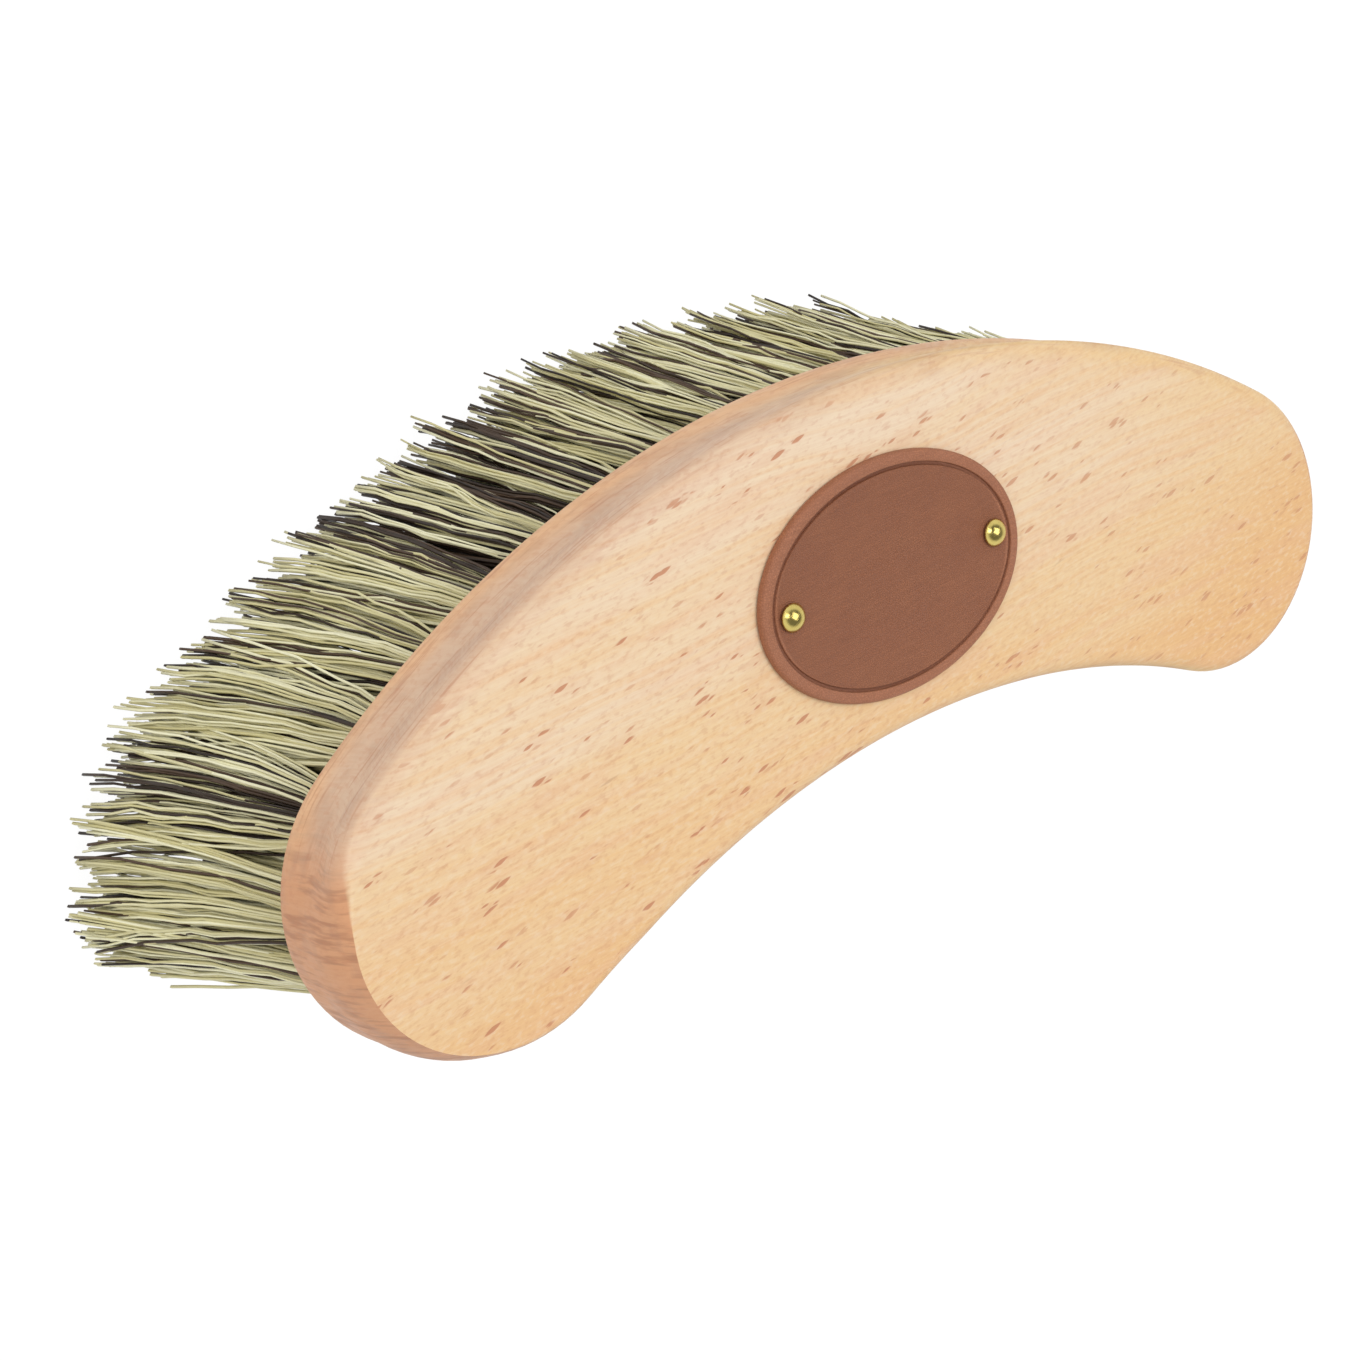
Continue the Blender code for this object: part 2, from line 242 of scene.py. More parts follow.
def new_group(name, inputs, outputs):
    """An empty node group and its inputs. Its sockets are given by label and kind."""
    group = bpy.data.node_groups.new(name, "ShaderNodeTree")
    for side, sockets in (("INPUT", inputs), ("OUTPUT", outputs)):
        for label, kind in sockets.items():
            group.interface.new_socket(label, in_out=side, socket_type="NodeSocket" + kind)
    return group, group.nodes.new("NodeGroupInput").outputs


def give_out(group, **values):
    """Link values to a group's outputs, by name."""
    result = group.nodes.new("NodeGroupOutput")
    for label, value in values.items():
        group.links.new(value, result.inputs[label])


def make_streaks():
    """Noise stretched to a streak's size."""
    group, given = new_group("streaks", {"Size": "Vector", "Turn": "Vector", "Detail": "Float",
                                         "Wander": "Float"}, {"Mask": "Float"})
    place = add_node(group, "TexCoord").outputs["Object"]
    wander = add_noise(group, place, WANDER_SCALE, 1.0)["Color"]
    shift = add_node(group, "VectorMath", {0: wander, 1: MIDDLE_OF_NOISE}, operation="SUBTRACT").outputs[0]
    shift = add_node(group, "VectorMath", {0: shift, "Scale": given["Wander"]}, operation="SCALE")
    bent = add_node(group, "VectorMath", {0: place, 1: shift.outputs[0]}, operation="ADD").outputs[0]
    drawn = add_mapping(group, bent, Rotation=given["Turn"], Scale=given["Size"])
    streak = add_noise(group, drawn, 1.0, given["Detail"], STREAK_ROUGHNESS)[0]
    give_out(group, Mask=ramp(group, streak, *STREAK_BAND))
    return group


STREAKS = make_streaks()


def add_streaks(tree, size, turn, detail, wander):
    """Place the streaks group in a material, with its turn in degrees."""
    values = {"Size": size, "Turn": (0, 0, math.radians(turn)), "Detail": detail, "Wander": wander}
    return add_node(tree, "Group", values, node_tree=STREAKS).outputs["Mask"]


print("group", STREAKS.name, "has", len(STREAKS.nodes), "nodes")

# %% [markdown]
# ## Beech
#
# Beech is known by its flecks, the cut ends of thin rays. They are cells of a Voronoi texture, drawn out
# along the wood, of which only the middles show. The texture is solid, so a surface meets some cells near
# their middle and others near their tip, and the sizes vary as they do in wood. One group makes them all:
# small flecks, long rare ones, and groups of dashes, where a wide faint cell lets the small ones in it show.

# %% Group for beech flecks
LENS_POWER = 1.35
CORE_SHARE = 0.6


def make_flecks():
    """Lens-shaped flecks: a mask, with a strength of its own for each fleck."""
    group, given = new_group("beech_flecks", {"Cell Size": "Vector", "Reach": "Float", "Shift": "Vector",
                                              "Lean": "Vector"}, {"Mask": "Float", "Strength": "Float"})
    place = add_node(group, "TexCoord").outputs["Object"]
    cells = add_mapping(group, place, Location=given["Shift"], Rotation=given["Lean"],
                        Scale=given["Cell Size"])
    lens = add_node(group, "TexVoronoi", {"Vector": cells, "Scale": 1.0, "Exponent": LENS_POWER},
                    distance="MINKOWSKI").outputs
    chance = add_node(group, "SeparateColor", {0: lens["Color"]}).outputs["Red"]
    core = maths(group, "MULTIPLY", given["Reach"], CORE_SHARE)
    give_out(group, Mask=ramp(group, lens["Distance"], core, given["Reach"], 1.0, 0.0), Strength=chance)
    return group


FLECKS = make_flecks()


def add_flecks(tree, cell_size, reach, weakest, shift, lean):
    """Place the flecks group, with its lean in degrees. A higher weakest leaves fewer flecks."""
    values = {"Cell Size": cell_size, "Reach": reach, "Shift": shift, "Lean": (0, 0, math.radians(lean))}
    flecks = add_node(tree, "Group", values, node_tree=FLECKS).outputs
    return maths(tree, "MULTIPLY", flecks["Mask"], ramp(tree, flecks["Strength"], weakest, 1.0))


print("group", FLECKS.name, "has", len(FLECKS.nodes), "nodes")

# %% [markdown]
# The face is a pale pinkish cream that turns to honey and tan towards the hollow edge and the right end,
# with long faint growth lines along the block and a rosy blush here and there. Each of these is a tint,
# laid over the colour below it where a mask rises from one value to another. A table holds the layers, so
# that one loop can lay them all.

# %% Colour of the face
CREAM = paint(245, 222, 192)
HONEY = paint(244, 212, 164)
TAN = paint(241, 194, 135)
ROSE = paint(240, 192, 158)
WARM_Y = (END_Y + 29 * MM, END_Y - 21 * MM)
WARM_X = (40 * MM, 120 * MM)
ACROSS_SHARE, ALONG_SHARE, CLOUD_SHARE = 0.70, 0.38, 0.35
# Each kind has its size along x, y and z in metres, its turn in degrees, its detail and its wander.
BEECH_STREAKS = {"broad": ((0.16, 0.016, 0.02), 2, 2.0, 0.020),
                 "lines": ((0.12, 0.0013, 0.004), 1, 4.0, 0.012),
                 "blush": ((0.040, 0.0042, 0.014), 2, 3.0, 0.010),
                 "fine": ((0.009, 0.00035, 0.003), 0, 3.0, 0.004),
                 "speck": ((0.0018, 0.0008, 0.0012), 9, 3.0, 0.0),
                 "side_lines": ((0.012, 0.012, 0.0006), 0, 3.0, 0.003),
                 "rays": ((0.012, 0.0014, 0.009), 0, 3.0, 0.004),
                 "smudge": ((0.016, 0.007, 0.0045), 0, 4.0, 0.010)}
# Each layer has its mask, where the mask starts and ends, its strength and its tint.
FACE_LAYERS = (("warm", 0.0, 0.55, 1.0, HONEY), ("warm", 0.45, 1.15, 1.0, TAN),
               ("lines", 0.35, 1.0, 0.42, TAN), ("blush", 0.45, 0.95, 0.26, ROSE))


def add_layers(tree, masks, colour, *layers):
    """Lay tints over a colour, each where its mask rises."""
    for name, low, high, strength, tint in layers:
        colour = mix(tree, ramp(tree, masks[name], low, high, 0.0, strength), colour, tint)
    return colour


def paint_face(tree, place, masks):
    """The planed face, warmer towards the hollow edge and the right end."""
    masks["warm"] = add_weighted(tree, (ramp(tree, place["Y"], *WARM_Y), ACROSS_SHARE),
                                 (ramp(tree, place["X"], *WARM_X), ALONG_SHARE),
                                 (masks["broad"], CLOUD_SHARE))
    return add_layers(tree, masks, CREAM, *FACE_LAYERS)


print(len(BEECH_STREAKS), "kinds of streak and", len(FACE_LAYERS), "layers on the face")

# %% [markdown]
# The wall is told from the face by the direction that the surface points in, in the object's own space.
# Along the bulging edge its colour, with the painted shade and sheen of its upper part, fades on into the
# face for a few millimetres, which takes the distance from the outline. At the two ends, where the outline
# runs across the fibres of the wood, the border is crisp and the end grain shows.

# %% Where the wall begins
END_GRAIN_X = (76 * MM, 104 * MM)
END_GRAIN_Y = (END_Y + 21 * MM, END_Y + 9 * MM)
# How much of its direction points up, where the face stops and where the wall is full.
SIDE_BORDER = (0.94, 0.35)
END_BORDER = (0.98, 0.80)
SOFT_EDGE = (1.0 * MM, 4.6 * MM)
SOFT_SHARE = 0.60


def add_rim_distance(tree, place):
    """How far a point lies inside the bulging edge or the round ends."""
    sideways = maths(tree, "ABSOLUTE", place["X"])
    spot = add_node(tree, "CombineXYZ", {0: sideways, 1: place["Y"]}).outputs[0]
    insets = []
    for centre, radius in (((0, BACK_CENTRE_Y, 0), BACK_RADIUS), ((END_X, END_Y, 0), END_RADIUS)):
        away = add_node(tree, "VectorMath", {0: spot, 1: centre}, operation="DISTANCE").outputs["Value"]
        insets.append(maths(tree, "SUBTRACT", radius, away))
    from_back, from_end = insets
    meeting_x = END_X * BACK_RADIUS / (BACK_RADIUS - END_RADIUS)
    at_end = maths(tree, "GREATER_THAN", sideways, meeting_x)
    gain = maths(tree, "SUBTRACT", from_end, from_back)
    return maths(tree, "MULTIPLY_ADD", at_end, gain, from_back)


def add_end_mask(tree, place):
    """1 at the two ends, from the hollow side on, where the end grain shows."""
    far_out = ramp(tree, maths(tree, "ABSOLUTE", place["X"]), *END_GRAIN_X)
    return maths(tree, "MULTIPLY", far_out, ramp(tree, place["Y"], *END_GRAIN_Y))


def add_wall_mask(tree, place, upward, ends):
    """1 on the wall and 0 on the face."""
    border = [maths(tree, "MULTIPLY_ADD", ends, at_end - at_side, at_side)
              for at_side, at_end in zip(SIDE_BORDER, END_BORDER)]
    steep = ramp(tree, maths(tree, "ABSOLUTE", upward), *border)
    # The soft band carries the wall's colour, with its painted shade and sheen, a few millimetres onto the
    # round of the face.
    soft = ramp(tree, add_rim_distance(tree, place), *SOFT_EDGE, SOFT_SHARE, 0.0)
    soft = maths(tree, "MULTIPLY", soft, maths(tree, "SUBTRACT", 1.0, ends))
    return maths(tree, "MAXIMUM", steep, soft)


# %% [markdown]
# The wall cuts across the fibres, so it is darker and more orange than the face. It turns greyer and paler
# towards its top edge, which is painted shade on the groove's upper slope and painted sheen on the round
# above it. It has thin growth lines round it and dull smudges from the hands that hold it. The end grain is
# darker still, with short lines where the rays come out.

# %% Colour of the wall
SIDE_LOW = paint(236, 189, 143)
# Painted shade and sheen: the greyer, paler colour of the wall's upper part.
UPPER_WALL_SHADE_AND_SHEEN = paint(225, 191, 160)
SIDE_RIGHT = paint(241, 204, 142)
SIDE_LINE = paint(190, 116, 84)
SIDE_SMUDGE = paint(176, 132, 108)
END_GRAIN = paint(220, 162, 119)
END_LINE = paint(150, 92, 62)
SIDE_Z = (UNDERSIDE_Z + 4.0 * MM, UNDERSIDE_Z + 8.5 * MM)
RIGHT_X = (-30 * MM, 45 * MM)
HEIGHT_WANDER = 4 * MM


def paint_wall(tree, place, masks):
    """The side wall and the end grain."""
    # The upper wall gets painted shade and sheen, in a colour that turns yellower towards the right end.
    high_side = mix(tree, ramp(tree, place["X"], *RIGHT_X), UPPER_WALL_SHADE_AND_SHEEN, SIDE_RIGHT)
    height = add_weighted(tree, (place["Z"], 1.0), (masks["broad"], HEIGHT_WANDER))
    side = mix(tree, ramp(tree, height, *SIDE_Z), SIDE_LOW, high_side)
    side = add_layers(tree, masks, side, ("side_lines", 0.60, 1.0, 0.42, SIDE_LINE))
    grain = add_layers(tree, masks, END_GRAIN, ("rays", 0.40, 0.95, 0.50, END_LINE))
    side = mix(tree, masks["ends"], side, grain)
    return add_layers(tree, masks, side, ("smudge", 0.40, 0.95, 0.26, SIDE_SMUDGE))


# %% [markdown]
# Last come the marks on the whole surface: fine pores, dark and pale specks, and the flecks. The wood is
# calmer to the right, and on the wall the flecks nearly vanish.

# %% Flecks and the beech material
FLECK_BROWN = paint(202, 134, 97)
FLECK_HALO = paint(226, 170, 132)
DARK_FLECK = paint(150, 90, 60)
# Each kind has the size of its cells, its reach, its weakest, its shift and its lean, in metres and degrees.
BEECH_FLECKS = {"small": ((0.0066, 0.0017, 0.008), 0.24, 0.1, (0, 0, 0), 9),
                "cluster": ((0.0105, 0.0027, 0.012), 0.48, -0.5, (0.004, 0.001, 0.002), 6),
                "dashes": ((0.0046, 0.00105, 0.005), 0.48, -1.0, (0.002, 0.0007, 0), 15),
                "rare": ((0.0340, 0.0042, 0.020), 0.12, 0.5, (0.011, 0.003, 0.001), 9)}
GROUPED_BAND = (0.0, 0.50)
FLECK_LAYERS = (("cluster", 0.22, FLECK_HALO), ("small", 0.42, FLECK_BROWN),
                ("grouped", 0.86, FLECK_BROWN), ("rare", 0.40, DARK_FLECK))
CALM_X = (-30 * MM, 70 * MM)
CALM_SHARE = 0.62
WALL_CALM = 0.85
PORE_SHARE = 0.16
DARK_SPECKS = (0.55, 1.0, 0.0, 0.24)
PALE_SPECKS = (0.45, 0.0, 0.0, 0.36)
BEECH_ROUGHNESS = (0.42, 0.58)
PORE_RELIEF = 0.4
BEECH_RELIEF = 0.04 * MM


def paint_marks(tree, place, masks, colour):
    """Pores, specks and flecks over the colour."""
    off_wall = maths(tree, "SUBTRACT", 1.0, masks["wall"])
    calmer = ramp(tree, place["X"], *CALM_X, 1.0, CALM_SHARE)
    pores = maths(tree, "MULTIPLY", masks["fine"], PORE_SHARE)
    dark_specks = maths(tree, "MULTIPLY", ramp(tree, masks["speck"], *DARK_SPECKS), calmer)
    pale_specks = maths(tree, "MULTIPLY", ramp(tree, masks["speck"], *PALE_SPECKS), off_wall)
    for mask, tint in ((pores, FLECK_BROWN), (dark_specks, FLECK_BROWN), (pale_specks, CREAM)):
        colour = mix(tree, mask, colour, tint)
    for name, values in BEECH_FLECKS.items():
        masks[name] = add_flecks(tree, *values)
    grouped = maths(tree, "MULTIPLY", masks["cluster"], masks["dashes"])
    masks["grouped"] = ramp(tree, grouped, *GROUPED_BAND)
    on_face = maths(tree, "MULTIPLY_ADD", masks["wall"], -WALL_CALM, 1.0)
    on_face = maths(tree, "MULTIPLY", on_face, calmer)
    for name, share, tint in FLECK_LAYERS:
        mask = maths(tree, "MULTIPLY", maths(tree, "MULTIPLY", masks[name], share), on_face)
        colour = mix(tree, mask, colour, tint)
    return colour


def make_beech():
    """Planed, clear-finished beech."""
    material, tree, shader = new_material("beech")
    surface = add_node(tree, "TexCoord").outputs
    place = axes(tree, surface["Object"])
    upward = axes(tree, surface["Normal"])["Z"]
    masks = {name: add_streaks(tree, *values) for name, values in BEECH_STREAKS.items()}
    masks["ends"] = add_end_mask(tree, place)
    masks["wall"] = add_wall_mask(tree, place, upward, masks["ends"])
    colour = mix(tree, masks["wall"], paint_face(tree, place, masks), paint_wall(tree, place, masks))
    colour = paint_marks(tree, place, masks, colour)
    roughness = ramp(tree, masks["fine"], 0.0, 1.0, *BEECH_ROUGHNESS)
    relief = add_weighted(tree, (masks["fine"], PORE_RELIEF), (masks["grouped"], -1.0))
    wire_shader(tree, shader, colour, roughness, relief, BEECH_RELIEF)
    return material


beech = make_beech()
print("beech has", len(beech.node_tree.nodes), "nodes")

# %% [markdown]
# ## The block
#
# The outline could be a traced curve, but arcs stay true at any number of steps. One vertex is spun round
# the centre of each arc in turn, and the loop that it leaves behind is filled.

# %% Outline of the block
BACK_STEPS, FRONT_STEPS, END_STEPS = 96, 64, 40
TOUCH = 0.01 * MM


def only_verts(items):
    """The vertices among the items that an operator gives back."""
    return [item for item in items if isinstance(item, bmesh.types.BMVert)]


def spin_outline(bm):
    """Spin one vertex through the four arcs and fill the loop."""
    back_turn = math.atan2(END_Y - BACK_CENTRE_Y, END_X)
    front_turn = math.atan2(END_Y - FRONT_CENTRE_Y, END_X)
    end_sweep = back_turn - front_turn + math.pi
    arcs = [((0, BACK_CENTRE_Y), math.pi - 2 * back_turn, BACK_STEPS),
            ((END_X, END_Y), end_sweep, END_STEPS),
            ((0, FRONT_CENTRE_Y), 2 * front_turn - math.pi, FRONT_STEPS),
            ((-END_X, END_Y), end_sweep, END_STEPS)]
    start = Vector((-END_X - END_RADIUS * math.cos(back_turn), END_Y + END_RADIUS * math.sin(back_turn), 0))
    last = [bm.verts.new(start + Vector((0, 0, UNDERSIDE_Z)))]
    for centre, sweep, steps in arcs:
        spun = bmesh.ops.spin(bm, geom=last, cent=(*centre, UNDERSIDE_Z), axis=(0, 0, -1),
                              angle=sweep, steps=steps)
        last = only_verts(spun["geom_last"])
    bmesh.ops.remove_doubles(bm, verts=bm.verts, dist=TOUCH)
    bmesh.ops.edgeloop_fill(bm, edges=bm.edges)


print("outline of", BACK_STEPS + FRONT_STEPS + 2 * END_STEPS, "steps")

# %% [markdown]
# The face is raised to the block's thickness, and a bevel rounds its top edge and its foot. Between them
# runs a shallow finger groove: the wall is cut into bands, and each moves inwards along its normals by a
# smooth curve of its height. The left end was sanded less evenly: there the wall leans inwards in one soft
# curve that meets the face in a crisp line.

# %% Body of the block
TOP_ROUND, TOP_ROUND_STEPS = 3.0 * MM, 8
FOOT_ROUND, FOOT_ROUND_STEPS = 1.2 * MM, 4
GROOVE_DEPTH = 1.3 * MM
GROOVE_BANDS = 11
FACE_MARGIN = 0.4 * MM
CRISP_X = (-62 * MM, -95 * MM)
CRISP_Y = (END_Y + 14 * MM, END_Y + 3 * MM)
GROOVE_FADE = 0.75
LEAN_START = 8.5 * MM
LEAN_POWER = 1.7


def raise_face(bm, height):
    """Extrude the one face of a bmesh upwards, to a closed solid."""
    raised = bmesh.ops.extrude_face_region(bm, geom=list(bm.faces))["geom"]
    bmesh.ops.translate(bm, vec=(0, 0, height), verts=only_verts(raised))
    bmesh.ops.recalc_face_normals(bm, faces=bm.faces)


def round_edges(bm, height, radius, steps):
    """Bevel the edges that lie flat at a height."""
    edges = [edge for edge in bm.edges if all(abs(vert.co.z - height) < TOUCH for vert in edge.verts)]
    bmesh.ops.bevel(bm, geom=edges, offset=radius, offset_type="OFFSET", affect="EDGES", segments=steps,
                    profile=0.5, material=-1)


def crispness(place):
    """How crisp the top edge is, from 0 for the round one to 1."""
    shares = [(start - value) / (start - stop)
              for value, (start, stop) in ((place.x, CRISP_X), (place.y, CRISP_Y))]
    return math.prod(min(1.0, max(0.0, share)) for share in shares)


def sculpt_block(bm):
    """Raise, round and groove the block."""
    spin_outline(bm)
    raise_face(bm, TOP_Z - UNDERSIDE_Z)
    round_edges(bm, TOP_Z, TOP_ROUND, TOP_ROUND_STEPS)
    round_edges(bm, UNDERSIDE_Z, FOOT_ROUND, FOOT_ROUND_STEPS)
    for flat in sorted(bm.faces, key=lambda item: item.calc_area())[-2:]:
        bmesh.ops.inset_region(bm, faces=[flat], thickness=FACE_MARGIN)
    wall_top, wall_foot = TOP_Z - TOP_ROUND, UNDERSIDE_Z + FOOT_ROUND
    upright = [edge for edge in bm.edges
               if abs(abs(edge.verts[0].co.z - edge.verts[1].co.z) - (wall_top - wall_foot)) < TOUCH]
    bmesh.ops.subdivide_edges(bm, edges=upright, cuts=GROOVE_BANDS, use_grid_fill=True)
    bm.normal_update()
    for vert in bm.verts:
        if not wall_foot < vert.co.z < TOP_Z - TOUCH:
            continue
        crisp = crispness(vert.co)
        climb = max(0.0, vert.co.z - UNDERSIDE_Z - LEAN_START) / (TOP_Z - UNDERSIDE_Z - LEAN_START)
        rise = max(0.0, vert.co.z - wall_top)
        rounded = TOP_ROUND - math.sqrt(TOP_ROUND ** 2 - rise ** 2)
        depth = (TOP_ROUND * climb ** LEAN_POWER - rounded) * crisp
        if not rise:
            share = (vert.co.z - wall_foot) / (wall_top - wall_foot)
            depth += GROOVE_DEPTH * math.sin(math.pi * share) ** 2 * (1.0 - GROOVE_FADE * crisp)
        vert.co -= Vector((vert.normal.x, vert.normal.y, 0)).normalized() * depth


# %% [markdown]
# Each tuft sits in a blind hole. Where the holes are and how they lean is read from the solid tufts: the
# highest ring of a tuft's points is the bottom of its hole, and the ring just under the block is its mouth.

# %% Where the tufts and the nails are
FIT_GAP = 0.3 * MM
TUFT_RADIUS = 4.0 * MM
HOLE_RADIUS = TUFT_RADIUS + FIT_GAP
EXIT_DROP = 0.4 * MM
SHANK_RADIUS = 0.75 * MM
CUT_OVERRUN = 1.0 * MM
RING_HEIGHT = 0.05 * MM


def ring_centre(points, height):
    """The middle of the points that lie at a height."""
    ring = [point for point in points if abs(point.z - height) < RING_HEIGHT]
    return sum(ring, Vector()) / len(ring)


def read_tuft(node):
    """Where a tuft leaves its hole, its shift for each metre down, and the hole's top."""
    points = [vert.co.copy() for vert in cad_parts[node].data.vertices]
    inner = ring_centre(points, max(point.z for point in points))
    mouth = ring_centre(points, UNDERSIDE_Z - EXIT_DROP)
    slope = (mouth - inner) / (inner.z - mouth.z)
    slope.z = -1.0
    root = mouth - slope * EXIT_DROP
    return {"root": root, "slope": slope, "top": inner.z + FIT_GAP}


tufts = {node: read_tuft(node) for node in TUFTS}
nail_boxes = {node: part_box(node) for node in NAILS}
print("holes", round((tufts[TUFTS[0]]["top"] - UNDERSIDE_Z) / MM, 2), "mm deep")

# %% [markdown]
# One Boolean takes away all the tufts' holes and the nails' two pilot holes. A drill is a cylinder whose
# points are shifted sideways by their height, so that it leans but keeps its level ends.

# %% Make the block
DRILL_SIDES = 24


def add_drill(bm, root, slope, top, foot, radius):
    """A closed drill shape that follows a slope between two heights."""
    made = bmesh.ops.create_cone(bm, cap_ends=True, segments=DRILL_SIDES, radius1=radius, radius2=radius,
                                 depth=top - foot)["verts"]
    for vert in made:
        height = vert.co.z + (top + foot) / 2
        drop = root.z - height
        vert.co = Vector((vert.co.x + root.x + slope.x * drop, vert.co.y + root.y + slope.y * drop, height))


def cut_holes(bm, drills_bm):
    """Take the drill shapes out of a bmesh, by way of two objects that are removed again."""
    solid, drills = make_object("solid", bm), make_object("drills", drills_bm)
    cut = solid.modifiers.new("holes", "BOOLEAN")
    cut.operation = "DIFFERENCE"
    cut.solver = "EXACT"
    cut.object = drills
    evaluated = solid.evaluated_get(bpy.context.evaluated_depsgraph_get())
    result = bmesh.new()
    result.from_mesh(evaluated.to_mesh())
    evaluated.to_mesh_clear()
    for holder in (solid, drills):
        bpy.data.objects.remove(holder)
    return result


def add_pilots(bm, top, foot):
    """The holes that the nails' shanks go through."""
    for low, high in nail_boxes.values():
        middle = (low + high) / 2
        add_drill(bm, Vector((middle.x, middle.y, top)), Vector((0, 0, -1)), top, foot,
                  SHANK_RADIUS + FIT_GAP)


block_bm = bmesh.new()
sculpt_block(block_bm)
drills = bmesh.new()
for tuft in tufts.values():
    add_drill(drills, tuft["root"], tuft["slope"], tuft["top"], UNDERSIDE_Z - CUT_OVERRUN, HOLE_RADIUS)
add_pilots(drills, TOP_Z + CUT_OVERRUN, min(low.z for low, high in nail_boxes.values()) - FIT_GAP)
block = finish_piece("beech_block", cut_holes(block_bm, drills), [beech], ["block"])
print("beech_block has", len(block.data.polygons), "faces")

# %% [markdown]
# ## Leather
#
# The badge is leather with a fine pebbled grain, faint rub marks and a lighter raised rim. Painted shade
# darkens the grain's creases and lays a dark line in the pressed groove, and the cut edge has a faint dark
# burnish. The distance from the middle, measured with the oval's own half sizes, is 1 at the edge, so bands
# of it and of the height place them.

# %% Leather material
RUSSET = paint(156, 97, 67)
RUSSET_PALE = paint(167, 108, 76)
RIM_RUSSET = paint(188, 124, 91)
# A darker brown for the rub marks and the cut edge's burnish, and for the painted shade in the groove and the
# creases.
BURNISH_AND_SHADE = paint(98, 56, 38)
BADGE_CENTRE = (badge_low + badge_high) / 2
BADGE_HALF = (badge_high - badge_low) / 2
BADGE_TURN = math.radians(-1.5)
# Bands of the distance from the middle, and of the height.
CUT_EDGE, CUT_EDGE_SHARE = (0.975, 1.0), 0.2
INSIDE_EDGE = (0.97, 0.96)
RIM_BAND = (0.88, 0.90)
PRESSED_Z = (badge_high.z - 0.22 * MM, badge_high.z - 0.42 * MM)
RAISED_Z = (badge_high.z - 0.14 * MM, badge_high.z - 0.04 * MM)
CLOUD_SCALE, CLOUD_BAND = 130.0, (0.3, 0.7, 0.0, 0.5)
PEBBLE_SCALE, PEBBLE_BAND = 2600.0, (0.0, 0.25)
LEATHER_RUB = ((0.006, 0.00022, 0.002), 3, 2.0, 0.002)
# The share and the tint of the rim, of the rub marks, of the painted shade in the creases, and of the painted
# shade in the groove with the burnish at the cut edge.
LEATHER_TINTS = ((0.85, RIM_RUSSET), (0.18, BURNISH_AND_SHADE), (0.28, BURNISH_AND_SHADE), (0.5, BURNISH_AND_SHADE))
LEATHER_ROUGHNESS = (0.2, 0.8, 0.46, 0.62)
PEBBLE_HEIGHT, RUB_HEIGHT = 0.6, 0.4
LEATHER_RELIEF = 0.08 * MM


def add_groove_shade_and_edge_burnish(tree, reach, level):
    """1 in the pressed groove, for its painted shade, and a little at the cut edge, for its burnish."""
    pressed = maths(tree, "MULTIPLY", ramp(tree, level, *PRESSED_Z), ramp(tree, reach, *INSIDE_EDGE))
    cut_edge = maths(tree, "MULTIPLY", ramp(tree, reach, *CUT_EDGE), CUT_EDGE_SHARE)
    return maths(tree, "MAXIMUM", cut_edge, pressed)


def make_leather():
    """Reddish-brown leather with burnished edges, and painted shade in its groove and creases."""
    material, tree, shader = new_material("leather", Specular_IOR_Level=0.4)
    place = add_node(tree, "TexCoord").outputs["Object"]
    level = axes(tree, place)["Z"]
    oval = add_mapping(tree, place, Location=BADGE_CENTRE, Rotation=(0, 0, BADGE_TURN),
                       Scale=(BADGE_HALF.x, BADGE_HALF.y, 1.0))
    flat = add_node(tree, "VectorMath", {0: oval, 1: (1, 1, 0)}, operation="MULTIPLY").outputs[0]
    reach = add_node(tree, "VectorMath", {0: flat}, operation="LENGTH").outputs["Value"]
    grain = add_node(tree, "TexVoronoi", {"Vector": place, "Scale": PEBBLE_SCALE},
                     feature="DISTANCE_TO_EDGE").outputs["Distance"]
    pebble = ramp(tree, grain, *PEBBLE_BAND)
    cloud = add_noise(tree, place, CLOUD_SCALE, 4.0)[0]
    rub = add_streaks(tree, *LEATHER_RUB)
    raised = maths(tree, "MAXIMUM", ramp(tree, level, *RAISED_Z), ramp(tree, reach, *RIM_BAND))
    # Painted shade: the creases between the pebbles of the grain are darkened.
    crease_shade = maths(tree, "SUBTRACT", 1.0, pebble)
    colour = mix(tree, ramp(tree, cloud, *CLOUD_BAND), RUSSET, RUSSET_PALE)
    masks = (raised, rub, crease_shade, add_groove_shade_and_edge_burnish(tree, reach, level))
    for mask, (share, tint) in zip(masks, LEATHER_TINTS):
        colour = mix(tree, maths(tree, "MULTIPLY", mask, share), colour, tint)
    roughness = ramp(tree, cloud, *LEATHER_ROUGHNESS)
    height = add_weighted(tree, (pebble, PEBBLE_HEIGHT), (rub, RUB_HEIGHT))
    wire_shader(tree, shader, colour, roughness, height, LEATHER_RELIEF)
    return material


leather = make_leather()
print("leather has", len(leather.node_tree.nodes), "nodes")

# %% [markdown]
# The badge starts as a filled circle that is scaled to the oval and raised to its thickness. Insets then
# draw the rim, the pressed groove, the lip beside it and the plain field, each moved to its own level.

# %% Make the badge
BADGE_STEPS = 160
RIM_WIDTH = 2.2 * MM
LIP_DROP = 0.12 * MM
FIELD_DROP = 0.2 * MM
BADGE_ROUND, BADGE_ROUND_STEPS = 0.9 * MM, 6
DIE_WIDTH, DIE_DEPTH = 1.0 * MM, 0.5 * MM
DIE_SLOPE = DIE_WIDTH / 4
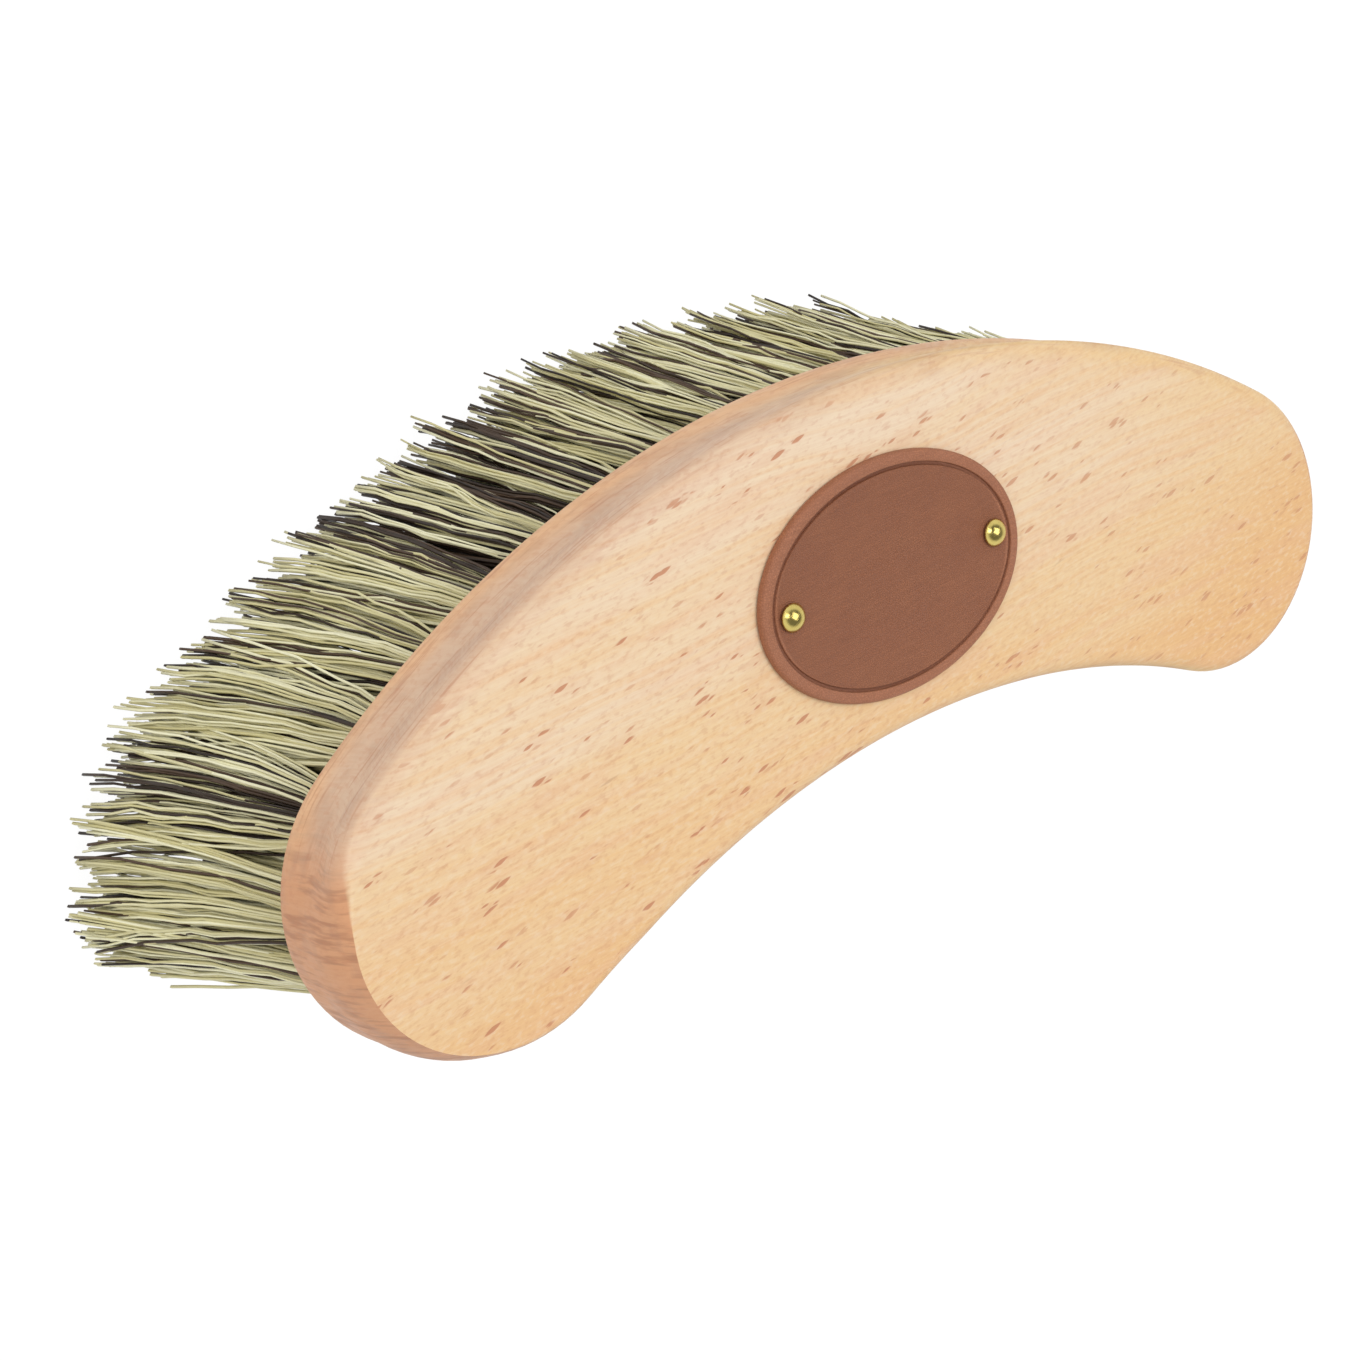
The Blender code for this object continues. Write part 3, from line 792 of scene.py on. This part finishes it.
# The width and the drop of each inset: the rim, the groove's outer slope in two steps, its floor, the lip
# and the field.
BADGE_INSETS = ((RIM_WIDTH - BADGE_ROUND - DIE_SLOPE, 0.0), (DIE_SLOPE / 2, DIE_DEPTH * 0.15),
                (DIE_SLOPE / 2, DIE_DEPTH * 0.85), (DIE_SLOPE * 2, 0.0),
                (DIE_SLOPE / 2, LIP_DROP - DIE_DEPTH), (DIE_SLOPE, FIELD_DROP - LIP_DROP))


def sculpt_badge(bm):
    """The oval with its rim, groove and field."""
    disc = bmesh.ops.create_circle(bm, cap_ends=True, segments=BADGE_STEPS, radius=1.0)["verts"]
    bmesh.ops.scale(bm, vec=(BADGE_HALF.x, BADGE_HALF.y, 1.0), verts=disc)
    bmesh.ops.rotate(bm, cent=(0, 0, 0), matrix=Matrix.Rotation(BADGE_TURN, 3, "Z"), verts=disc)
    bmesh.ops.translate(bm, vec=(BADGE_CENTRE.x, BADGE_CENTRE.y, badge_low.z), verts=disc)
    raise_face(bm, badge_high.z - badge_low.z)
    round_edges(bm, badge_high.z, BADGE_ROUND, BADGE_ROUND_STEPS)
    face = max(bm.faces, key=lambda item: item.calc_center_median().z + item.calc_area())
    for width, drop in BADGE_INSETS:
        bmesh.ops.inset_region(bm, faces=[face], thickness=width, use_even_offset=True)
        bmesh.ops.translate(bm, vec=(0, 0, -drop), verts=face.verts)


badge_bm = bmesh.new()
sculpt_badge(badge_bm)
badge_drills = bmesh.new()
add_pilots(badge_drills, badge_high.z + CUT_OVERRUN, badge_low.z - CUT_OVERRUN)
badge = finish_piece("leather_badge", cut_holes(badge_bm, badge_drills), [leather], ["badge"])
print("leather_badge has", len(badge.data.polygons), "faces")

# %% [markdown]
# ## Brass nails
#
# The nails are polished brass with fine rub marks, dulled where the dome meets the leather and a little in
# faint clouds.

# %% Brass material
BRASS_COLOUR = paint(216, 196, 116)
BRASS_DULL = paint(160, 128, 54)
BRASS_RUB = ((0.0035, 0.00012, 0.002), 35, 2.0, 0.001)
DULL_Z = (badge_high.z + 0.7 * MM, badge_high.z - 0.2 * MM)
TARNISH_SCALE, TARNISH_BAND = 900.0, (0.35, 0.7)
TARNISH_SHARE = 0.25
BRASS_ROUGHNESS = (0.0, 1.6, 0.12, 0.38)
BRASS_RELIEF = 0.006 * MM


def make_brass():
    """Polished brass, dulled near the seat."""
    material, tree, shader = new_material("brass", Metallic=1.0)
    place = add_node(tree, "TexCoord").outputs["Object"]
    height = axes(tree, place)["Z"]
    rub = add_streaks(tree, *BRASS_RUB)
    cloud = add_noise(tree, place, TARNISH_SCALE, 3.0)[0]
    dull = ramp(tree, height, *DULL_Z)
    worn = maths(tree, "MULTIPLY", ramp(tree, cloud, *TARNISH_BAND), TARNISH_SHARE)
    colour = mix(tree, maths(tree, "MAXIMUM", dull, worn), BRASS_COLOUR, BRASS_DULL)
    roughness = ramp(tree, maths(tree, "ADD", rub, dull), *BRASS_ROUGHNESS)
    wire_shader(tree, shader, colour, roughness, rub, BRASS_RELIEF)
    return material


brass = make_brass()
print("brass has", len(brass.node_tree.nodes), "nodes")

# %% [markdown]
# A nail is the same all round its axis, so each is a profile of a few points, spun once round it: the
# point, the shank, the flat seat under the head, its lip and the dome.

# %% Make the nails
NAIL_SEAT = badge_high.z - FIELD_DROP + FIT_GAP
HEAD_LIP = 0.3 * MM
NAIL_POINT = 1.5 * MM
TIP_RADIUS = 0.2 * MM
NAIL_STEPS = 48
DOME_STEPS = 12
WELD = 0.005 * MM
NAIL_ANGLE = 50


def sculpt_nail(bm, low, high):
    """Spin a nail's profile round its axis."""
    axis = (low + high) / 2
    head_radius = (high.x - low.x) / 2
    crown = high.z - NAIL_SEAT - HEAD_LIP
    cap_radius = (head_radius ** 2 + crown ** 2) / (2 * crown)
    profile = [(0, low.z), (TIP_RADIUS, low.z), (SHANK_RADIUS, low.z + NAIL_POINT), (SHANK_RADIUS, NAIL_SEAT),
               (head_radius - HEAD_LIP / 3, NAIL_SEAT), (head_radius, NAIL_SEAT + HEAD_LIP / 3)]
    for step in range(DOME_STEPS):
        turn = math.asin(head_radius / cap_radius) * (1 - step / DOME_STEPS)
        profile.append((cap_radius * math.sin(turn), high.z - cap_radius + cap_radius * math.cos(turn)))
    profile.append((0, high.z))
    verts = [bm.verts.new((axis.x + radius, axis.y, height)) for radius, height in profile]
    edges = [bm.edges.new(pair) for pair in zip(verts, verts[1:])]
    bmesh.ops.spin(bm, geom=verts + edges, cent=axis, axis=(0, 0, 1), angle=2 * math.pi,
                   steps=NAIL_STEPS, use_merge=True)
    bmesh.ops.remove_doubles(bm, verts=bm.verts, dist=WELD)
    bmesh.ops.recalc_face_normals(bm, faces=bm.faces)


for node, (low, high) in nail_boxes.items():
    nail_bm = bmesh.new()
    sculpt_nail(nail_bm, low, high)
    nail = finish_piece("brass_" + node, nail_bm, [brass], [node], NAIL_ANGLE)
    print(nail.name, "has", len(nail.data.polygons), "faces")

# %% [markdown]
# ## Fibres
#
# The brush is filled with stiff plant fibres, some pale straw and some nearly black. Both materials use one
# group: two colours, a tone that each fibre carries as an attribute of its mesh, and streaks along the fibre.
# Another attribute, the run from root to tip, darkens the roots with painted shade, where the fibres crowd
# under the block.

# %% Fibre materials
FIBRE_STREAK = (0.0006, 0.0006, 0.009)
STREAK_TONE = 0.5
# Painted shade at the roots: it starts halfway along the run and reaches half strength at the root.
ROOT_SHADE_BAND = (0.5, 0.0, 0.0, 0.5)
FIBRE_ROUGHNESS = (0.2, 0.8, 0.36, 0.58)
FIBRE_RELIEF = 0.05 * MM


def make_fibre_group():
    """Colour and roughness of a fibre from its own tone and from streaks along it, with painted shade at its
    root.
    """
    group, given = new_group("fibre", {"Light": "Color", "Deep": "Color", "Root": "Color"},
                             {"Color": "Color", "Roughness": "Float", "Height": "Float"})
    tone, run = [add_node(group, "Attribute", attribute_name=name).outputs["Fac"] for name in ("tone", "run")]
    drawn = add_mapping(group, add_node(group, "TexCoord").outputs["Object"], Scale=FIBRE_STREAK)
    streak = add_noise(group, drawn, 1.0, 2.0)[0]
    shade = maths(group, "MULTIPLY_ADD", streak, STREAK_TONE, -STREAK_TONE / 2)
    blend = ramp(group, maths(group, "ADD", tone, shade), 0.0, 1.0)
    colour = mix(group, blend, given["Deep"], given["Light"])
    # Painted shade: the colour darkens towards the root.
    colour = mix(group, ramp(group, run, *ROOT_SHADE_BAND), colour, given["Root"])
    give_out(group, Color=colour, Roughness=ramp(group, streak, *FIBRE_ROUGHNESS), Height=streak)
    return group


FIBRE = make_fibre_group()


def make_fibre(name, light, deep, root, gloss):
    """One kind of fibre, whose root colour is painted shade."""
    material, tree, shader = new_material(name, Specular_IOR_Level=gloss)
    made = add_node(tree, "Group", {"Light": light, "Deep": deep, "Root": root}, node_tree=FIBRE).outputs
    wire_shader(tree, shader, made["Color"], made["Roughness"], made["Height"], FIBRE_RELIEF)
    return material


# The third colour of each kind is the painted shade at its roots.
pale_fibre = make_fibre("fibre_pale", paint(252, 248, 211), paint(217, 208, 153), paint(194, 183, 136), 0.45)
dark_fibre = make_fibre("fibre_dark", paint(88, 68, 52), paint(43, 32, 25), paint(34, 25, 18), 0.25)
print("group", FIBRE.name, "has", len(FIBRE.nodes), "nodes")

# %% [markdown]
# A tuft fans out until it meets its neighbours, so that all the tips make one even face. On each of its
# four sides, along the row and across it, the reach is half the way to the nearest tuft and a little more.
# Outside the rim the fibres spread freely on the bulging side and at the ends, and less on the hollow side,
# which is trimmed close. Use has bent some tufts for good, most of all those at the left end.

# %% Reach of each tuft
MINGLE = 2.6 * MM
FREE_REACH = 4.4 * MM
TRIMMED_REACH = 2.2 * MM
NEIGHBOUR_RANGE = 26 * MM
# The cosines of a way that still belongs to a side, and of a side that faces the hollow edge.
NEIGHBOUR_AIM, HOLLOW_AIM = 0.75, -0.4
# For the bent tufts of the rim, how far their tips are bent along x and y, in millimetres.
BENT = {30: (-4.0, 1.5), 31: (-8.0, 3.2), 32: (-6.5, 1.0), 33: (0.8, -6.0), 34: (0.5, -6.0),
        1: (-2.8, -5.0), 2: (-3.2, -4.2), 3: (-2.5, -3.2), 4: (-1.5, -1.8), 5: (-0.5, -0.8),
        12: (-0.4, -0.9), 13: (-0.8, -2.0)}


def rim_name(number):
    """The name of a tuft of the rim."""
    return f"tuft_rim_{number:02d}"


def row_direction(node):
    """The direction of a tuft's row. The rim is a closed row and the others are open."""
    row = [name for name in TUFTS if name.rsplit("_", 1)[0] == node.rsplit("_", 1)[0]]
    before, after = row.index(node) - 1, row.index(node) + 1
    if node.startswith("tuft_rim"):
        after %= len(row)
    else:
        before, after = max(before, 0), min(after, len(row) - 1)
    return (tufts[row[after]]["root"] - tufts[row[before]]["root"]).normalized()


def reach_towards(node, direction):
    """How far a tuft spreads on one side, measured at the tips."""
    ways = [other["tip"] - tufts[node]["tip"] for name, other in tufts.items() if name != node]
    steps = [way.dot(direction) for way in ways
             if way.length < NEIGHBOUR_RANGE and way.dot(direction) > NEIGHBOUR_AIM * way.length]
    free_reach = TRIMMED_REACH if direction.y < HOLLOW_AIM else FREE_REACH
    return min(steps) / 2 + MINGLE if steps else free_reach


for tuft in tufts.values():
    tuft["tip"] = tuft["root"] + tuft["slope"] * UNDERSIDE_Z
for node, tuft in tufts.items():
    along = row_direction(node)
    across = Vector((-along.y, along.x, 0))
    tuft["sides"] = [(way, reach_towards(node, way)) for way in (along, -along, across, -across)]
    tuft["bent"] = Vector()
for number, bend in BENT.items():
    tufts[rim_name(number)]["bent"] = Vector((*bend, 0)) * MM
print("reach of", TUFTS[0], [round(reach / MM, 1) for way, reach in tufts[TUFTS[0]]["sides"]], "mm")

# %% [markdown]
# A tuft is a bundle of crinkled fibres that leave one hole. The path of a fibre is the tuft's slope, plus
# the fibre's share of the fan, plus a bend, plus a crinkle from smooth noise. Stiff fibres hang together in
# locks, so those that lie near each other share most of their bend and crinkle, which leaves dark gaps
# between the locks. Most fibres end a few millimetres short, and only the longest stand on the floor.

# %% Paths of the fibres
FIBRES_IN_TUFT, LOCKS_IN_TUFT = 205, 26
FIBRE_RADIUS = 0.285 * MM
FIBRE_STEPS = 10
TIP_TRIM, TRIM_POWER = 6.0 * MM, 0.7
TIP_FLOOR = 0.4 * MM
BEND, BEND_POWER = 3.0 * MM, 1.5
CRINKLE, CRINKLE_LENGTH, CRINKLE_RISE = 0.8 * MM, 10 * MM, 5
LOOSE_BEND_SHARE, LOOSE_CRINKLE_SHARE = 0.5, 0.35
STRAY_SHARE, STRAY_REACH = 0.05, 1.3
FAN_POWER = 0.55
NOISE_SPAN = 99
GOLDEN_TURN = math.pi * (3 - math.sqrt(5))
# Shares that are drawn between two ends.
LOCK_PULL_SHARES, LOCK_DARK_SHARES = (0.25, 0.75), (0.2, 1.8)
FAN_SHARES, CRINKLE_SHARES, WIDTH_SHARES = (0.9, 1.1), (0.6, 1.3), (0.75, 1.15)


def fan_of(tuft, spot):
    """How far a fibre's tip lies from the tuft's axis, from its place in the hole."""
    fan = Vector()
    for way, reach in tuft["sides"]:
        fan += way * max(0.0, spot.dot(way)) * reach
    return fan


def spiral_spot(number, count):
    """Place number of count, spread evenly over a disc of radius 1."""
    turn = number * GOLDEN_TURN
    return Vector((math.cos(turn), math.sin(turn), 0)) * math.sqrt((number + 0.5) / count)


def random_way(rng, most):
    """A short random shift, sideways."""
    turn = rng.uniform(0, 2 * math.pi)
    return Vector((math.cos(turn), math.sin(turn), 0)) * most * rng.random() ** BEND_POWER


def random_start(rng):
    """A random place to read the smooth noise from."""
    return Vector((rng.uniform(0, NOISE_SPAN), rng.uniform(0, NOISE_SPAN), 0))


def make_locks(rng, dark_share):
    """What the fibres of each lock have in common."""
    return [{"spot": spiral_spot(number, LOCKS_IN_TUFT), "bend": random_way(rng, BEND),
             "start": random_start(rng), "dark": dark_share * rng.uniform(*LOCK_DARK_SHARES)}
            for number in range(LOCKS_IN_TUFT)]


def fibre_path(rng, tuft, lock, spot):
    """The points of one fibre, from inside the hole to its tip."""
    root, slope = tuft["root"], tuft["slope"]
    length = root.z - TIP_FLOOR - TIP_TRIM * rng.random() ** TRIM_POWER
    bend = tuft["bent"] + lock["bend"] + random_way(rng, BEND * LOOSE_BEND_SHARE)
    packed = spot * (TUFT_RADIUS - FIBRE_RADIUS)
    pulled = spot.lerp(lock["spot"], rng.uniform(*LOCK_PULL_SHARES))
    stray = STRAY_REACH if rng.random() < STRAY_SHARE else 1.0
    fan = fan_of(tuft, pulled) * rng.uniform(*FAN_SHARES) * stray
    own_start = random_start(rng)
    crinkle = CRINKLE * rng.uniform(*CRINKLE_SHARES)
    points = [root + slope * (root.z - tuft["top"] + FIT_GAP) + packed]
    for step in range(FIBRE_STEPS):
        share = step / (FIBRE_STEPS - 1)
        down = length * share
        along = Vector((0, 0, down / CRINKLE_LENGTH))
        own_wave = noise.noise_vector(own_start + along) * LOOSE_CRINKLE_SHARE
        wave = noise.noise_vector(lock["start"] + along) + own_wave
        sway = Vector((wave.x, wave.y, 0)) * crinkle * min(1.0, share * CRINKLE_RISE)
        points.append(root + slope * down + packed.lerp(fan, share ** FAN_POWER) + bend * share ** 2 + sway)
    return points


print(FIBRES_IN_TUFT, "fibres in", LOCKS_IN_TUFT, "locks for each tuft")

# %% [markdown]
# All fibres of a tuft grow together: each starts as a four-sided disc, and the whole set is extruded one
# step at a time, with each disc moved to the next point of its own path. The extrusion leaves the starts
# open, so they are closed at the end.

# %% Grow a tuft
FIBRE_SIDES = 4


def start_discs(bm, paths, widths):
    """One small disc for each fibre, at the start of its path."""
    discs = []
    for path, width in zip(paths, widths):
        made = bmesh.ops.create_circle(bm, cap_ends=True, segments=FIBRE_SIDES, radius=width)["verts"]
        bmesh.ops.translate(bm, vec=path[0], verts=made)
        discs.append(made[0].link_faces[0])
    return discs


def fibre_faces(disc):
    """All faces of the fibre that a tip disc belongs to."""
    found = {disc}
    fresh = [disc]
    while fresh:
        near = {face for item in fresh for edge in item.edges for face in edge.link_faces}
        fresh = list(near - found)
        found |= near
    return found


def grow_tuft(rng, tuft, dark_share):
    """All fibres of one tuft in one bmesh. Returns it and the fibres' kinds."""
    bm = bmesh.new()
    tone_layer = bm.verts.layers.float.new("tone")
    run_layer = bm.verts.layers.float.new("run")
    locks = make_locks(rng, dark_share)
    paths, tones, kinds, widths = [], [], [], []
    for number in range(FIBRES_IN_TUFT):
        spot = spiral_spot(number, FIBRES_IN_TUFT)
        lock = min(locks, key=lambda item: (item["spot"] - spot).length)
        paths.append(fibre_path(rng, tuft, lock, spot))
        tones.append(rng.random())
        kinds.append(int(rng.random() < lock["dark"]))
        widths.append(FIBRE_RADIUS * rng.uniform(*WIDTH_SHARES))
    discs = start_discs(bm, paths, widths)
    starts = [list(disc.verts) for disc in discs]
    for step in range(1, FIBRE_STEPS + 1):
        discs = bmesh.ops.extrude_discrete_faces(bm, faces=discs)["faces"]
        for disc, path in zip(discs, paths):
            shift = path[step] - path[step - 1]
            for vert in disc.verts:
                vert.co += shift
                vert[run_layer] = (step - 1) / (FIBRE_STEPS - 1)
    for verts in starts:
        bm.faces.new(reversed(verts))
    for disc, tone, kind in zip(discs, tones, kinds):
        for face in fibre_faces(disc):
            face.material_index = kind
            for vert in face.verts:
                vert[tone_layer] = tone
    return bm, kinds


# %% [markdown]
# Pale and dark fibre are mixed when a brush is filled, so the dark share differs from tuft to tuft. It is
# written down for the tufts that the camera sees best, three of which are more than half dark, and drawn
# from a seeded random source for the others. Blender's own noise starts from the clock until it is given a
# seed, so it gets the same one.

# %% Make the tufts
SEEN_TUFTS = (*range(1, 13), 32, 33, 34)
SEEN_SHARES = (0.24, 0.30, 0.38, 0.62, 0.55, 0.38, 0.32, 0.24, 0.34, 0.55, 0.42, 0.32, 0.18, 0.18, 0.40)
DARK_TUFT_SHARES = {rim_name(number): share for number, share in zip(SEEN_TUFTS, SEEN_SHARES)}
COMMON_DARK_SHARES = (0.15, 0.40)
FIBRE_ANGLE = 100
DRAW_SEED = 19
rng = random.Random(DRAW_SEED)
noise.seed_set(DRAW_SEED)
for node in TUFTS:
    dark_share = DARK_TUFT_SHARES.get(node, rng.uniform(*COMMON_DARK_SHARES))
    tuft_bm, kinds = grow_tuft(rng, tufts[node], dark_share)
    piece = finish_piece("fibres_" + node, tuft_bm, [pale_fibre, dark_fibre], [node], FIBRE_ANGLE)
print(len(TUFTS), "tufts, each of about", len(piece.data.polygons), "faces")

# %% [markdown]
# ## Floor, light and camera
#
# The brush stands on white. The floor is white where the camera or a reflection sees it, and an ordinary
# pale floor for the light, so it keeps a faint shadow.

# %% Floor
FLOOR_SIZE = 6.0
FLOOR_GREY, FLOOR_ROUGHNESS = (0.82, 0.82, 0.82, 1.0), 0.9
WHITE = (1, 1, 1, 1)
SHADOW_SHARE = 0.12
GLOW = 1.08


def add_seen(tree):
    """1 for the rays of the camera, of a reflection and of glass, and 0 for the others."""
    rays = add_node(tree, "LightPath").outputs
    seen = maths(tree, "MAXIMUM", rays["Is Camera Ray"], rays["Is Glossy Ray"])
    return maths(tree, "MAXIMUM", seen, rays["Is Transmission Ray"])


floor_bm = bmesh.new()
bmesh.ops.create_grid(floor_bm, x_segments=1, y_segments=1, size=FLOOR_SIZE / 2)
floor = make_object("floor", floor_bm)
floor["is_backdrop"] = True
material, tree, shader = new_material("white_floor", Base_Color=FLOOR_GREY, Roughness=FLOOR_ROUGHNESS)
glow = add_node(tree, "Emission", {"Color": WHITE, "Strength": GLOW})
factor = maths(tree, "MULTIPLY", add_seen(tree), 1.0 - SHADOW_SHARE)
both = add_node(tree, "MixShader", {0: factor, 1: shader.outputs[0], 2: glow.outputs[0]})
tree.links.new(both.outputs[0], tree.nodes["Material Output"].inputs["Surface"])
floor.data.materials.append(material)
print("floor", FLOOR_SIZE, "m wide")

# %% [markdown]
# The light is a pale world and two wide soft lamps, one overhead and one from the camera's side, at a level
# where a colour renders about as it is written. What the camera or a reflection sees of the world is a white
# backdrop under a darker ceiling, so that polished brass has something to mirror.

# %% World and lamps
WORLD_STRENGTH, CEILING_STRENGTH = 0.55, 0.22
CEILING_BAND = (0.40, 0.72)
LAMP_TARGET = Vector((0, 0, 0.06))
# Each lamp has its place and its size in metres and its power in watts.
LAMPS = {"overhead": ((0.25, 0.3, 1.9), 1.3, 13.0), "camera_side": ((-1.3, 0.9, 1.3), 0.9, 9.0)}

world = bpy.data.worlds.new("studio")
bpy.context.scene.world = world
world.use_nodes = True
tree = world.node_tree
background = tree.nodes["Background"].inputs
rise = axes(tree, add_node(tree, "TexCoord").outputs["Generated"])["Z"]
backdrop = ramp(tree, rise, *CEILING_BAND, 1.0, CEILING_STRENGTH)
change = maths(tree, "SUBTRACT", backdrop, WORLD_STRENGTH)
strength = maths(tree, "MULTIPLY_ADD", add_seen(tree), change, WORLD_STRENGTH)
tree.links.new(strength, background["Strength"])
background["Color"].default_value = WHITE

for name, (place, size, power) in LAMPS.items():
    light = bpy.data.lights.new(name, "AREA")
    light.size = size
    light.energy = power
    lamp = new_object(name, light)
    lamp.location = place
    lamp.rotation_euler = (LAMP_TARGET - Vector(place)).to_track_quat("-Z", "Y").to_euler()
print(len(LAMPS), "lamps")

# %% [markdown]
# The camera looks down from over the left end, turned so that the brush lies aslant in the picture.

# %% Camera
CAMERA_PLACE = (-0.2365, 0.11985, 0.3531)
CAMERA_TURN = (-10.72, -37.61, -14.41)
LENS, SENSOR_WIDTH = 59.46, 36.0
CLIP_START = 0.01

camera_data = bpy.data.cameras.new("camera")
camera_data.lens = LENS
camera_data.sensor_width = SENSOR_WIDTH
camera_data.clip_start = CLIP_START
camera = new_object("camera", camera_data)
camera.location = CAMERA_PLACE
camera.rotation_euler = Euler([math.radians(turn) for turn in CAMERA_TURN])
bpy.context.scene.camera = camera
bpy.context.scene.view_settings.view_transform = "Standard"
print("lens", LENS, "mm")

# %% [markdown]
# Last, the size of the dressed model is written in the same form as that of the solid model at the start, so
# that the two can be compared.

# %% Sizes
visual_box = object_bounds()
print_box("dressed model", visual_box)
